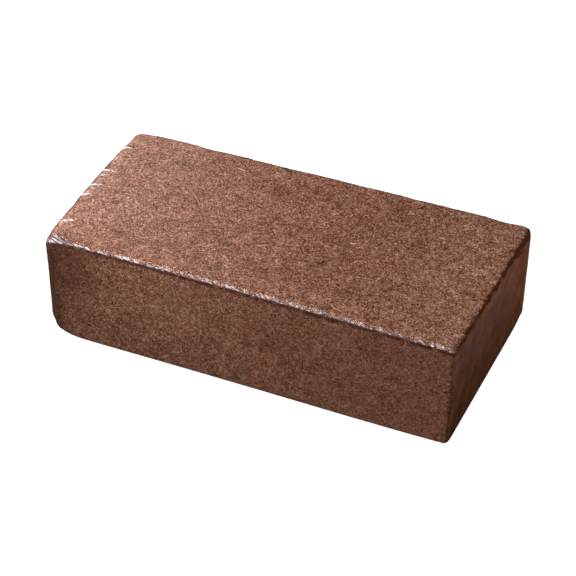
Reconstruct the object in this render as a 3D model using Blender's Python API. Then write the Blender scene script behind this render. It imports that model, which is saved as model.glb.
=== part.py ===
"""A block of pressed coconut coir, shrink-wrapped in clear film and resting on its flat underside.

Metres, +Z up. +X runs along the length and -Y is the front. The origin is the middle of the underside.
"""

import math

import bmesh
import bpy
from mathutils import Vector, noise

MM = 0.001

# The wrapped block at its top face, where it is longest, and how its foot differs from that
LENGTH = 200.2 * MM
TOP_WIDTH = 97.8 * MM
HEIGHT = 51.5 * MM
FOOT_IN = {"left": 0.8 * MM, "right": 1.3 * MM}
FOOT_OUT = 1.85 * MM

# How far it bulges out of an even box: its left end, its foot in front and its back towards the right,
# with the middle and the reach of the first two, and the move that brings it back over the origin
LEFT_BOW, LEFT_BOW_AT, LEFT_BOW_REACH = 0.75 * MM, 17.0 * MM, 43.0 * MM
FOOT_BULGE, FOOT_BULGE_AT, FOOT_BULGE_REACH = 1.1 * MM, 75.0 * MM, 70.0 * MM
BACK_OUT = 0.7 * MM
BACK_TO_MIDDLE = Vector((0.38 * MM, 0.20 * MM, 0.0))

# How far the front stands back at its top: halfway along, how that changes towards the right,
# and how far from the left end it begins
FRONT_BACK = 1.45 * MM
FRONT_BACK_SLOPE = -1.5 * MM
FRONT_BACK_BOW = -0.65 * MM
FRONT_BACK_START = 8.0 * MM

# The film, and the room between it and the coir
FILM_THICKNESS = 0.2 * MM
FILM_GAP = 0.3 * MM
VENT_DIAMETER = 4.0 * MM
VENT_X = 62.0 * MM
VENT_Z = 27.0 * MM
VENT_SIDES = 20

# Radii of the rounded edges and corners, as (at the top, at the foot)
SIDE_RADII = {"front": (2.4 * MM, 2.4 * MM), "back": (1.8 * MM, 2.5 * MM)}
END_RADII = {"left": (3.0 * MM, 5.0 * MM), "right": (1.6 * MM, 2.5 * MM)}
CORNER_RADII = {
    ("left", "front"): (7.5 * MM, 9.0 * MM),
    ("left", "back"): (4.2 * MM, 6.5 * MM),
    ("right", "front"): (2.4 * MM, 2.6 * MM),
    ("right", "back"): (1.8 * MM, 5.0 * MM),
}
CORNER_REACH = 10.0 * MM

# Where each side is cut into facets: close to its edges, and evenly between
EDGE_CUTS = (1.0 * MM, 2.8 * MM, 5.6 * MM, 9.5 * MM)
FACET = 10.0 * MM

# Relief, all of it inwards: slow waves that film and coir share, and hollows that only the coir has
WAVE_DEPTH = 0.2 * MM
WAVE_SCALE = 45.0 * MM
PIT_DEPTH = 0.6 * MM
PIT_SCALE = 15.0 * MM
EDGE_LOSS = 0.5 * MM
NIBBLE_DEPTH = 0.9 * MM
NIBBLE_SCALE = 8.0 * MM
NIBBLE_BIAS = 0.2
NIBBLE_REACH = 3.0 * MM
NIBBLED_EDGE = Vector((1.0, 0.0, 1.0)).normalized()
FLAT_FOOT = 6.0 * MM

SAME_PLACE = 0.001 * MM
FLAT_WITHIN = 0.01 * MM

COIR_COLOUR = (0.246, 0.117, 0.074, 1.0)
COIR_ROUGHNESS = 0.95
COIR_ALPHA = 1.0
FILM_COLOUR = (0.93, 0.94, 0.97, 1.0)
FILM_ROUGHNESS = 0.12
FILM_ALPHA = 0.18
SHARP_ANGLE = math.radians(40)


def clear_scene():
    for old in list(bpy.context.scene.objects):
        bpy.data.objects.remove(old, do_unlink=True)


def new_collection(name):
    made = bpy.data.collections.new(name)
    bpy.context.scene.collection.children.link(made)
    return made


def principled(name, colour, roughness, alpha):
    made = bpy.data.materials.new(name)
    made.use_nodes = True
    shader = made.node_tree.nodes["Principled BSDF"]
    shader.inputs["Base Color"].default_value = colour
    shader.inputs["Roughness"].default_value = roughness
    shader.inputs["Metallic"].default_value = 0.0
    shader.inputs["Alpha"].default_value = alpha
    return made


def between(pair, share):
    """From pair's second value, at the foot, to its first, at the top."""
    top, foot = pair
    return foot + (top - foot) * share


def near(distance, reach):
    """1 at no distance, falling smoothly to 0 well past reach."""
    return math.exp(-((distance / reach) ** 2))


def sides_of(point):
    """The names of the end and of the long side that a point is nearest."""
    end = "left" if point.x < 0 else "right"
    side = "front" if point.y < 0 else "back"
    return end, side


def radius_at(point):
    """The rounding of the edges near a point of the plain box: large only close to the upright corners."""
    end, side = sides_of(point)
    share = point.z / HEIGHT
    to_end = near(LENGTH / 2 - abs(point.x), CORNER_REACH)
    to_side = near(TOP_WIDTH / 2 - abs(point.y), CORNER_REACH)
    along_side = between(SIDE_RADII[side], share)
    along_end = between(END_RADII[end], share)
    corner = between(CORNER_RADII[end, side], share)
    at_end = along_end + (corner - along_end) * to_side
    return along_side + (at_end - along_side) * to_end


def rounded(point):
    """A point of the plain box moved on to the rounded one, and the way out of the surface there."""
    radius = radius_at(point)
    inner = Vector((
        max(-LENGTH / 2 + radius, min(LENGTH / 2 - radius, point.x)),
        max(-TOP_WIDTH / 2 + radius, min(TOP_WIDTH / 2 - radius, point.y)),
        max(radius, min(HEIGHT - radius, point.z)),
    ))
    outward = (point - inner).normalized()
    return inner + outward * radius, outward


def off_the_foot(point):
    """0 on the underside, which stays flat, rising to 1 a little above it."""
    return min(1.0, point.z / FLAT_FOOT)


def wave(point, outward):
    """The slow waves of the wrapped surface, all of them inside its ideal shape."""
    swell = noise.noise(point / WAVE_SCALE)
    return -outward * (WAVE_DEPTH * (1.0 - swell) / 2 * off_the_foot(point))


def coir_relief(point, outward):
    """The waves, with shallow pits, and with crumbs lost along the right end's top edge."""
    pit = PIT_DEPTH * max(0.0, noise.noise(point / PIT_SCALE)) * off_the_foot(point)
    nibble = max(0.0, NIBBLE_BIAS + noise.noise(point / NIBBLE_SCALE))
    from_edge = Vector((LENGTH / 2 - point.x, HEIGHT - point.z)).length
    lost = (EDGE_LOSS + NIBBLE_DEPTH * nibble) * near(from_edge, NIBBLE_REACH)
    return wave(point, outward) - outward * pit - NIBBLED_EDGE * lost


def stood_back(point):
    """How far the front stands back at a point: most at the top, and more towards the left."""
    along = point.x / (LENGTH / 2)
    back = FRONT_BACK + FRONT_BACK_SLOPE * along + FRONT_BACK_BOW * along**2
    past_corner = 1.0 - near(LENGTH / 2 + point.x, FRONT_BACK_START)
    to_front = max(0.0, -point.y / (TOP_WIDTH / 2))
    return back * past_corner * to_front * (point.z / HEIGHT) ** 2


def bulge(point):
    """How far the left end, the foot in front and the back stand out of an even box at a point."""
    to_left = max(0.0, -point.x / (LENGTH / 2)) ** 3
    across = point.y / (TOP_WIDTH / 2)
    down = 1.0 - point.z / HEIGHT
    bow = LEFT_BOW * max(0.0, 1.0 - ((point.y - LEFT_BOW_AT) / LEFT_BOW_REACH) ** 2)
    front = FOOT_BULGE * near(point.x - FOOT_BULGE_AT, FOOT_BULGE_REACH) * down * max(0.0, -across)
    back = BACK_OUT * (0.5 + point.x / LENGTH) * max(0.0, across) ** 2
    return Vector((-bow * to_left, back - front, 0.0))


def drafted(point):
    """The press's taper: the foot is a little shorter and wider than the top, mostly at the front."""
    end, _ = sides_of(point)
    down = 1.0 - point.z / HEIGHT
    x = point.x * (1.0 - FOOT_IN[end] * down / (LENGTH / 2))
    y = point.y * (1.0 + FOOT_OUT * down / (TOP_WIDTH / 2))
    return Vector((x, y + stood_back(point), point.z)) + bulge(point) + BACK_TO_MIDDLE


def cut_places(low, high):
    """Where planes cut a side that runs from low to high, apart from its two ends."""
    first, last = low + EDGE_CUTS[-1], high - EDGE_CUTS[-1]
    steps = round((last - first) / FACET)
    even = [first + (last - first) * step / steps for step in range(1, steps)]
    return [low + cut for cut in EDGE_CUTS] + even + [high - cut for cut in EDGE_CUTS]


def cut_box():
    """A plain box, cut by planes into a grid of facets on every side, each split the same way in two."""
    made = bmesh.new()
    bmesh.ops.create_cube(made, size=1.0)
    size = Vector((LENGTH, TOP_WIDTH, HEIGHT))
    for vertex in made.verts:
        vertex.co = vertex.co * size + Vector((0, 0, HEIGHT / 2))
    lows = (-LENGTH / 2, -TOP_WIDTH / 2, 0.0)
    for axis in range(3):
        normal = Vector([float(axis == other) for other in range(3)])
        for place in cut_places(lows[axis], lows[axis] + size[axis]):
            geometry = made.verts[:] + made.edges[:] + made.faces[:]
            bmesh.ops.bisect_plane(
                made, geom=geometry, dist=SAME_PLACE, plane_co=normal * place, plane_no=normal
            )
    bmesh.ops.triangulate(made, faces=made.faces[:])
    return made


def brick(name, inset, relief, material, collection):
    """The block's shape, with its surface drawn in by inset and then moved by relief."""
    made = cut_box()
    for vertex in made.verts:
        place, outward = rounded(vertex.co.copy())
        vertex.co = drafted(place - outward * inset + relief(place, outward))
    foot = [face for face in made.faces if all(v.co.z < inset + FLAT_WITHIN for v in face.verts)]
    bmesh.ops.dissolve_faces(made, faces=foot)
    made.normal_update()
    mesh = bpy.data.meshes.new(name)
    made.to_mesh(mesh)
    made.free()
    mesh.shade_smooth()
    mesh.set_sharp_from_angle(angle=SHARP_ANGLE)
    if material:
        mesh.materials.append(material)
    obj = bpy.data.objects.new(name, mesh)
    collection.objects.link(obj)
    return obj


def as_cutter(obj):
    obj.display_type = "WIRE"
    obj.hide_render = True
    return obj


def vent_cutter(collection):
    """A round punch that goes through the film on the back, clear of the coir's far side."""
    made = bmesh.new()
    bmesh.ops.create_cone(
        made,
        cap_ends=True,
        segments=VENT_SIDES,
        radius1=VENT_DIAMETER / 2,
        radius2=VENT_DIAMETER / 2,
        depth=TOP_WIDTH / 2,
    )
    mesh = bpy.data.meshes.new("vent_cutter")
    made.to_mesh(mesh)
    made.free()
    obj = bpy.data.objects.new("vent_cutter", mesh)
    obj.location = (VENT_X, TOP_WIDTH / 2, VENT_Z)
    obj.rotation_euler = (math.pi / 2, 0, 0)
    collection.objects.link(obj)
    return obj


def cut_from(obj, cutter):
    cut = obj.modifiers.new(f"less {cutter.name}", "BOOLEAN")
    cut.operation = "DIFFERENCE"
    cut.solver = "EXACT"
    cut.object = cutter


def coir_block(collection):
    coir = principled("coir", COIR_COLOUR, COIR_ROUGHNESS, COIR_ALPHA)
    brick("coir_block", FILM_THICKNESS + FILM_GAP, coir_relief, coir, collection)


def film_wrap(collection, cutters):
    clear = principled("clear film", FILM_COLOUR, FILM_ROUGHNESS, FILM_ALPHA)
    film = brick("film_wrap", 0.0, wave, clear, collection)
    inside = brick("film_inside", FILM_THICKNESS, wave, None, cutters)
    cut_from(film, as_cutter(inside))
    cut_from(film, as_cutter(vent_cutter(cutters)))


def main():
    clear_scene()
    bale = new_collection("coconut coir bale")
    cutters = new_collection("cutters")
    coir_block(bale)
    film_wrap(bale, cutters)


main()
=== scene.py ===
"""The looks of a block of pressed coconut coir in clear shrink film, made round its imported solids.

Metres, +Z up. +X runs along the length and -Y is the front. The origin is the middle of the underside.
"""

import math
import random

import bmesh
import bpy
from mathutils import Matrix, Vector, noise


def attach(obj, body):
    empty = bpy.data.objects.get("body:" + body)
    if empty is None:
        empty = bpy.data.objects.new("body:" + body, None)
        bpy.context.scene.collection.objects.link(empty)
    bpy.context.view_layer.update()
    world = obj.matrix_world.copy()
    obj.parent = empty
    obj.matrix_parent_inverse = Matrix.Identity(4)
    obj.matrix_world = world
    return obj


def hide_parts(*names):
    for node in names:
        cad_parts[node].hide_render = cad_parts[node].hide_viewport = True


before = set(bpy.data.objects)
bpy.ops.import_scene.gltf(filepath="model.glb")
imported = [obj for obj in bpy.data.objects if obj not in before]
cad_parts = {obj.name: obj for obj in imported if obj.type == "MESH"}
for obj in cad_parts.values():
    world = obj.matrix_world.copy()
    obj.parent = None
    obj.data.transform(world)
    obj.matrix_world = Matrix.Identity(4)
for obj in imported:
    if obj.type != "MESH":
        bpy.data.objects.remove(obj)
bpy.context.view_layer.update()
MM = 0.001

# The wrapped block's form, the same as its solids have
LENGTH = 200.2 * MM
TOP_WIDTH = 97.8 * MM
HEIGHT = 51.5 * MM
END_X, BACK_Y = LENGTH / 2, TOP_WIDTH / 2
FOOT_IN = {"left": 0.8 * MM, "right": 1.3 * MM}
FOOT_OUT = 1.85 * MM
LEFT_BOW, LEFT_BOW_AT, LEFT_BOW_REACH = 0.75 * MM, 17 * MM, 43 * MM
FOOT_BULGE, FOOT_BULGE_AT, FOOT_BULGE_REACH = 1.1 * MM, 75 * MM, 70 * MM
BACK_OUT = 0.7 * MM
BACK_TO_MIDDLE = Vector((0.38 * MM, 0.20 * MM, 0.0))
FRONT_BACK = 1.45 * MM
FRONT_BACK_SLOPE = -1.5 * MM
FRONT_BACK_BOW = -0.65 * MM
FRONT_BACK_START = 8 * MM
VENT_DIAMETER = 4 * MM
VENT_X = 62 * MM
VENT_Z = 27 * MM
SIDE_RADII = {"front": (2.4 * MM, 2.4 * MM), "back": (1.8 * MM, 2.5 * MM)}
END_RADII = {"left": (3 * MM, 5 * MM), "right": (1.6 * MM, 2.5 * MM)}
CORNER_RADII = {
    ("left", "front"): (7.5 * MM, 9 * MM),
    ("left", "back"): (4.2 * MM, 6.5 * MM),
    ("right", "front"): (2.4 * MM, 2.6 * MM),
    ("right", "back"): (1.8 * MM, 5 * MM),
}
CORNER_REACH = 10 * MM
WAVE_DEPTH = 0.2 * MM
WAVE_SCALE = 45 * MM
PIT_DEPTH = 0.6 * MM
PIT_SCALE = 15 * MM
EDGE_LOSS = 0.5 * MM
NIBBLE_DEPTH = 0.9 * MM
NIBBLE_SCALE = 8 * MM
NIBBLE_BIAS = 0.2
NIBBLE_REACH = 3 * MM
NIBBLED_EDGE = Vector((1.0, 0.0, 1.0)).normalized()
FLAT_FOOT = 6 * MM

# Grids: how many cells along the length, the width and the height
COIR_CELLS = (270, 132, 68)
FILM_CELLS = (96, 48, 26)
FOOT_RIM = 6 * MM

# The coir's fine relief, and how far under the wrapped form's surface its mean surface lies
COIR_INSET = 0.02 * MM
GRAIN_DEPTH = 0.10 * MM
GRAIN_SCALE = 1.5 * MM
LUMP_DEPTH = 0.12 * MM
LUMP_SCALE = 4.5 * MM
CRACK_DEPTH = 0.30 * MM
CRACK_SCALE = 3 * MM
CRACK_WIDTH = 0.06
ROUGH_PATCH = 9 * MM
SMEARED_ROUGHNESS = 0.12

# The coir's smeared ends, its calmer front, and the crumbling of the right end's top edge
END_BAND = 1.5 * MM
SMEAR_CLEAR = {"left": (3 * MM, 8 * MM), "right": (0.3 * MM, 1.8 * MM)}
SMEAR_BELOW = (0.2 * MM, 1 * MM)
LEFT_SMEAR = 0.5
FRONT_CALM = (0.38, 0.12)
EDGE_TURN = 1 * MM
CRUMBLE_DEPTH = 2 * MM
CRUMBLE_SCALE = 1.8 * MM
CRUMBLE_REACH = 1.3 * MM

# Loose grains and fibres pressed into the coir: how many, how large, and how far they stand out
CRUMBS = 12000
CRUMB_SIZES = (0.20 * MM, 0.36 * MM)
GRAINS = 49000
GRAIN_SIZES = (0.15 * MM, 0.28 * MM)
LARGE_SHARE, LARGER_BY = 0.06, 1.9
GRAIN_JOLT = 0.35
GRAIN_PROUD = 0.12 * MM
FIBRES = 7000
LONG_FIBRES = 50
LONG_LENGTH_MM = (5, 12)
FIBRE_RADII = (0.06 * MM, 0.13 * MM)
FIBRE_PROUD = 0.06 * MM
LAID_PROUD = 0.12 * MM
ODD_TONES = 0.05
SEED = 41

# Fibres and flecks to be seen in the photo, and dark marks of tone 0, painted shade in cracks and under
# lifted fibres: tone, thickness in mm, and places in mm.
# On top the places are along and across, on the front along and up, and on the end across and up
LAID_ON_TOP = (
    (0.9, 0.36, (-42, 38.4), (-40, 37.7), (-37.3, 37.4)),
    (0.72, 0.26, (-58, 15.6), (-51.9, 11), (-46.1, 4.9), (-44.5, 2.3)),
    (0.85, 0.34, (-58.4, -11.4), (-55.8, -11.5), (-53.5, -10.2)),
    (1.0, 0.5, (-17.8, -28.6), (-16.8, -29.6)),
    (1.0, 0.46, (-16.3, -30.2), (-15.4, -31.2)),
    (0.9, 0.36, (-25, -0.9), (-23.3, -1.2)),
    (1.0, 0.4, (-19.5, 12.1), (-18.5, 11.8)),
    (0.95, 0.36, (-6.7, -0.2), (-4.6, -1.3)),
    (0.0, 0.6, (-8.6, 0.2), (-7.5, 0.1)),
    (0.92, 0.36, (-8.2, -14.4), (-7.1, -14.2), (-4.7, -12.5)),
    (0.0, 0.4, (-8.1, -15.9), (-6.6, -15.3)),
    (0.0, 0.6, (16.8, -16.9), (17.6, -16.8)),
    (0.0, 0.5, (21, -15.5), (22.4, -15.7), (23.8, -14.3), (24, -12.8)),
    (0.88, 0.32, (38.2, -40.3), (41.1, -42.9), (44.7, -43.7)),
    (1.0, 0.44, (28.9, 4.6), (30.3, 4.2), (32, 5.2)),
    (0.0, 0.36, (29.2, 7), (30.8, 8.3), (32.8, 9.9)),
    (1.0, 0.6, (47.7, 12.3), (48.4, 11.8)),
    (0.0, 0.6, (46.3, 11.5), (47, 11.2)),
    (0.95, 0.4, (64.7, 24.6), (66.9, 24.4)),
    (0.0, 0.54, (46.6, 40.4), (49.1, 42.5), (49.6, 44.4)),
    (0.78, 0.3, (39.9, 43), (42.7, 43.2), (45.2, 46.3), (48.2, 45.6), (48.3, 42.9)),
    (0.0, 0.46, (69.2, 16.9), (70.3, 18), (71.4, 18)),
    (0.72, 0.26, (61.1, -30.9), (67, -26.6), (69.7, -23), (76.4, -19.5)),
    (0.78, 0.28, (64, -12.9), (66.4, -13.2), (69.8, -12.7)),
    (0.74, 0.28, (15.4, 0.7), (19.6, -2.2), (22.4, -3.1)),
    (0.95, 0.4, (50.6, -15.9), (50.9, -14.7)),
    (0.82, 0.3, (40.2, -2.2), (43.3, -2.4)),
    (1.0, 0.54, (64.5, -33.8), (65.3, -34.3)),
    (0.0, 0.56, (79, -8.7), (79.8, -9.1)),
    (0.0, 0.46, (4.8, 22.3), (5.5, 23.8)),
    (0.0, 0.6, (-44.4, 46.9), (-41.7, 47.3), (-38.6, 47.5)),
    (0.0, 0.7, (-22.9, 46.2), (-20.1, 46.8)),
    (0.08, 0.4, (-84.4, 2), (-83.9, 4.3)),
    (0.05, 0.44, (-82.3, 3.2), (-81.9, 4.5), (-81.3, 6.7)),
    (0.0, 0.5, (-76.7, 9.5), (-76.2, 11.2)),
    (0.0, 0.6, (-79.8, -10.5), (-79.6, -9.7)),
    (0.08, 0.44, (-83.9, -10.2), (-82.8, -10.4), (-82.2, -8.9)),
    (0.95, 0.44, (-77.1, 15.1), (-75.7, 15.4)),
    (0.9, 0.4, (-76.6, -6.4), (-74.3, -7.6)),
)
LAID_ON_FRONT = (
    (0.0, 0.4, (94.9, 28.4), (96.5, 28.8), (97.6, 29), (99.4, 29.7)),
    (1.0, 0.44, (97.9, 28.8), (98.4, 28.6)),
    (0.95, 0.44, (-6.2, 2.4), (-5.7, 1.9)),
    (0.0, 0.7, (95.2, 47.1), (95.7, 46.8)),
    (0.0, 0.56, (88.5, 36.7), (88.8, 36.3)),
    (0.0, 0.6, (90.2, 28.5), (90.6, 28.1)),
)
LAID_ON_END = (
    (0.55, 0.24, (-29.8, 29.9), (-22.5, 31.7), (-15, 32.9), (-7.7, 35.3), (-4.1, 37.2)),
    (0.6, 0.34, (0.3, 42.5), (4.7, 43.2), (9.3, 43.3)),
)

# The film: how far it stands out of the wrapped form, its wrinkles and where they are
FILM_OUT = 0.28 * MM
SLACK_DEPTH = 0.04 * MM
SLACK_SCALE = 7 * MM
EDGE_WRINKLE_DEPTH = 0.30 * MM
EDGE_WRINKLE_WIDTH = 1.4 * MM
EDGE_WRINKLE_ACROSS = 1.5 * MM
EDGE_WRINKLE_SLANT = 1.6
# How white the wrinkled band is, partly the folded film's own white and partly painted highlights, with
# painted glints in small dots
EDGE_FULLNESS = (0.26, 0.50)
GLINT_SPACING = 2.1 * MM
GLINT_DOTS = (0.75, 0.15)
BAND_FILLS = (-40 * MM, 45 * MM)
BAND_START = (-96 * MM, -84 * MM)
BAND_WIDENS = (-98 * MM, -20 * MM)
EDGE_ON_TOP = (1.55 * MM, 0.6 * MM)
EDGE_ON_FRONT = (0.75 * MM, 1.15 * MM)
EDGE_RAGGED = 0.35
FRONT_DULL = 4 * MM
CORNER_DULL = 16 * MM
END_DULL = 4.5 * MM
CRUMPLE_DEPTH = 0.30 * MM
CRUMPLE_WIDTH = 0.85 * MM
# How white the crumpled corner is, partly its own white and partly painted highlights
CRUMPLE_WHITE_AND_HIGHLIGHT = 0.95
CRUMPLE_PLACE = -94.5 * MM
CRUMPLE_LENGTH = 7 * MM
CRUMPLE_REACH = 4.2 * MM
CRUMPLE_STROKE = 6 * MM
CRUMPLE_FROM = (-1.6 * MM, -0.6 * MM)
PUCKER_OUT = 0.6 * MM
PUCKER_BELOW = 4 * MM
PUCKER_REACH = 9 * MM
CREASE_HEIGHT = 0.30 * MM
CREASE_WIDTH = 0.38 * MM
# The film's haze, partly painted sheen: on the top, on the other sides, and up the right end
HAZE_AND_SHEEN_ON_TOP = 0.3
HAZE_AND_SHEEN_ON_SIDES = 0.15
HAZE_AND_SHEEN_RISE = (8 * MM, 40 * MM)
HAZE_AND_SHEEN_BELOW_EDGE = (0.5 * MM, 4 * MM)
HAZE_AND_SHEEN_TO_BACK = (16 * MM, 46 * MM)
HAZE_AND_SHEEN_LOST = 0.9

# How close to a side of the plain box a point counts as on it
ON_SIDE = 0.1 * MM

# How far from the top front edge and from the left end the film's cells are halved, once and again
EDGE_MARGIN = 4.5 * MM
WRINKLE_MARGINS = (3.5 * MM, 2.6 * MM)
CREASE_MARGINS = (9.5 * MM, 9 * MM)
CREASE_ENDS_FROM = 4 * MM
CORNER_TO_X, CORNER_TO_Y = -84 * MM, -44 * MM

# Creases over the left end's top edge: strength of each ridge and of its white, partly a painted
# highlight, then the start, middle and end of each arc as mm in from the edge and mm across
CREASES = (
    (0.9, (1.6, 29.2), (3.5, 32), (5.8, 31.8)),
    (0.45, (2.2, 20.4), (3, 22.4), (4.3, 23.2)),
    (1.0, (0.6, 9.4), (4, 11.5), (8, 11.3)),
    (0.55, (1.4, 5.2), (4, 7.3), (5.4, 8.1)),
    (0.3, (2.6, 2.8), (4.2, 4.4), (6.2, 4.1)),
    (0.85, (0.8, -3.4), (4.2, -1.2), (6.8, -0.5)),
    (0.3, (3.2, -5.4), (4.4, -4.5), (5.8, -3.4)),
    (1.0, (1.2, -12.2), (3.8, -9.5), (5.8, -8.8)),
    (0.9, (2.2, -34.4), (5.2, -31.8), (8, -32)),
)
ARC_STEPS = 30

# Painted shade: how far the coir is darkened near its edges, under the film's folds and round the front
# left corner, and how far from them
BIT_SHADE = 0.75
SHADE_PATCH = 1.8 * MM
FRONT_SHADE = 0.97
UNDER_FRONT = 1.7 * MM
UNDER_FRONT_REACH = (1 * MM, 1.8 * MM)
OUTLINE_SHADE = 0.55
UPRIGHT_REACH = 1.4 * MM
LEFT_RIM_SHADE = 0.90
LEFT_RIM = (1.3 * MM, 2.3 * MM)
LEFT_RIM_DOWN = 2.5 * MM
CRUMPLE_SHADE = 1.40
CRUMPLE_SPREAD = 1.4
TURN_SHADE = 0.85
TURN_REACH = (5 * MM, 14 * MM)
TURN_DOWN = (1 * MM, 2.5 * MM)
WIDE_SHADE = 0.55
WIDE_REACH = (14 * MM, 30 * MM)
WIDE_RISE = (15 * MM, 30 * MM)
WIDE_DEEP = 5 * MM
END_SHADE = 0.9
NOTCH_PATCH = 5 * MM
END_THICKENS = (-30 * MM, 45 * MM)
END_THICKEST = (22 * MM, 44 * MM)
END_FADE = 1.1 * MM
END_SHADE_DOWN = 5 * MM

# Painted light and shade: slow changes of the coir's brightness over the top and the front, with a
# painted highlight by the left rim, and where they lie
RIGHT_LIFT, RIGHT_PART = 0.07, (50 * MM, 85 * MM)
LEFT_LIFT, LEFT_PART = 0.05, (-60 * MM, -95 * MM)
RIM_LIFT, RIM_PLACE, RIM_REACH = 0.09, -96.5 * MM, 1.8 * MM
MIDDLE_LIFT, MIDDLE_PLACE, MIDDLE_REACH = (-0.03, 0.05), 28 * MM, 24 * MM
MIDDLE_BACK = (-38 * MM, -18 * MM)
FRONT_LIFT, FRONT_PLACE, FRONT_REACH = 0.06, -42 * MM, 35 * MM
FRONT_RISE = (8 * MM, 25 * MM)
FRONT_DIM, FRONT_DIM_PART = -0.03, (-10 * MM, 20 * MM)

# The camera, from the photo
CAMERA_AZIMUTH = math.radians(23.82)
CAMERA_ELEVATION = math.radians(37.44)
CAMERA_DISTANCE = 1017.5 * MM
CAMERA_ASIDE = 0.53 * MM
CAMERA_RAISED = 15.94 * MM
FOCAL_LENGTH_MM = 136.7
SENSOR_WIDTH_MM = 36.0


def between(pair, share):
    """From pair's second value, where share is 0, to its first, where share is 1."""
    first, second = pair
    return second + (first - second) * share


def near(distance, reach):
    """1 at no distance, falling smoothly to 0 well past reach."""
    return math.exp(-((distance / reach) ** 2))


def ramp(value, low, high):
    """0 at low, 1 at high, even between them and level past them. low may be the larger."""
    return max(0.0, min(1.0, (value - low) / (high - low)))


def sides_of(point):
    """The names of the end and of the long side that a point is nearest."""
    end = "left" if point.x < 0 else "right"
    side = "front" if point.y < 0 else "back"
    return end, side


def radius_at(point):
    """The rounding of the edges near a point of the plain box, large only at the upright corners."""
    end, side = sides_of(point)
    share = point.z / HEIGHT
    to_end = near(END_X - abs(point.x), CORNER_REACH)
    to_side = near(BACK_Y - abs(point.y), CORNER_REACH)
    along_side = between(SIDE_RADII[side], share)
    along_end = between(END_RADII[end], share)
    corner = between(CORNER_RADII[end, side], share)
    at_end = along_end + (corner - along_end) * to_side
    return along_side + (at_end - along_side) * to_end


def rounded(point):
    """A point of the plain box moved on to the rounded one, and the way out of the surface there."""
    radius = radius_at(point)
    inner = Vector((
        max(-END_X + radius, min(END_X - radius, point.x)),
        max(-BACK_Y + radius, min(BACK_Y - radius, point.y)),
        max(radius, min(HEIGHT - radius, point.z)),
    ))
    outward = (point - inner).normalized()
    return inner + outward * radius, outward


def stood_back(point):
    """How far the front stands back at a point: most at the top, and more towards the left."""
    along = point.x / END_X
    back = FRONT_BACK + FRONT_BACK_SLOPE * along + FRONT_BACK_BOW * along**2
    past_corner = 1.0 - near(END_X + point.x, FRONT_BACK_START)
    to_front = max(0.0, -point.y / BACK_Y)
    return back * past_corner * to_front * (point.z / HEIGHT) ** 2


def bulge(point):
    """How far the left end, the foot in front and the back stand out of an even box at a point."""
    to_left = max(0.0, -point.x / END_X) ** 3
    across = point.y / BACK_Y
    down = 1.0 - point.z / HEIGHT
    bow = LEFT_BOW * max(0.0, 1.0 - ((point.y - LEFT_BOW_AT) / LEFT_BOW_REACH) ** 2)
    front = FOOT_BULGE * near(point.x - FOOT_BULGE_AT, FOOT_BULGE_REACH) * down * max(0.0, -across)
    back = BACK_OUT * (0.5 + point.x / LENGTH) * max(0.0, across) ** 2
    return Vector((-bow * to_left, back - front, 0.0))


def drafted(point):
    """The press's taper: the foot is a little shorter and wider than the top, mostly at the front."""
    end, _ = sides_of(point)
    down = 1.0 - point.z / HEIGHT
    x = point.x * (1.0 - FOOT_IN[end] * down / END_X)
    y = point.y * (1.0 + FOOT_OUT * down / BACK_Y)
    return Vector((x, y + stood_back(point), point.z)) + bulge(point) + BACK_TO_MIDDLE


def off_the_foot(point):
    """0 on the underside, which stays flat, rising to 1 a little above it."""
    return min(1.0, point.z / FLAT_FOOT)


def wave(point, outward):
    """The slow waves of the wrapped surface, all of them inside its ideal shape."""
    swell = noise.noise(point / WAVE_SCALE)
    return -outward * (WAVE_DEPTH * (1.0 - swell) / 2 * off_the_foot(point))


def to_end_edge(point):
    """How far a point is from the right end's top edge."""
    return Vector((END_X - point.x, HEIGHT - point.z)).length


def coir_hollows(point, outward):
    """The solid's own relief: waves, shallow pits, and crumbs lost along the right end's top edge."""
    pit = PIT_DEPTH * max(0.0, noise.noise(point / PIT_SCALE)) * off_the_foot(point)
    nibble = max(0.0, NIBBLE_BIAS + noise.noise(point / NIBBLE_SCALE))
    lost = (EDGE_LOSS + NIBBLE_DEPTH * nibble) * near(to_end_edge(point), NIBBLE_REACH)
    return wave(point, outward) - outward * pit - NIBBLED_EDGE * lost


def side_of(point):
    """The axis that the plain box's side at a point faces."""
    gaps = (END_X - abs(point.x), BACK_Y - abs(point.y), min(point.z, HEIGHT - point.z))
    return gaps.index(min(gaps))


def end_share(point):
    """How smooth the coir is smeared: 1 on the right end, less in patches on the left, 0 elsewhere."""
    end, _ = sides_of(point)
    below_edge = ramp(HEIGHT - point.z, *SMEAR_BELOW)
    inwards = ramp(BACK_Y - abs(point.y), *SMEAR_CLEAR[end])
    patchy = 1.0
    if end == "left":
        patchy = LEFT_SMEAR * ramp(noise.noise(point / ROUGH_PATCH), -0.4, 0.4)
    return patchy * below_edge * inwards * ramp(abs(point.x), END_X - END_BAND, END_X)


def on_top(point):
    """1 on the top, falling to 0 just below it."""
    return ramp(point.z, HEIGHT - EDGE_TURN, HEIGHT)


def on_front(point):
    """1 on the front, falling to 0 just inside it."""
    return ramp(-point.y, BACK_Y - EDGE_TURN, BACK_Y)


def calm_share(point):
    """How far the coir's contrast is lowered: only on the front, and more towards the right."""
    return on_front(point) * between(FRONT_CALM, 0.5 + point.x / LENGTH)


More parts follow.
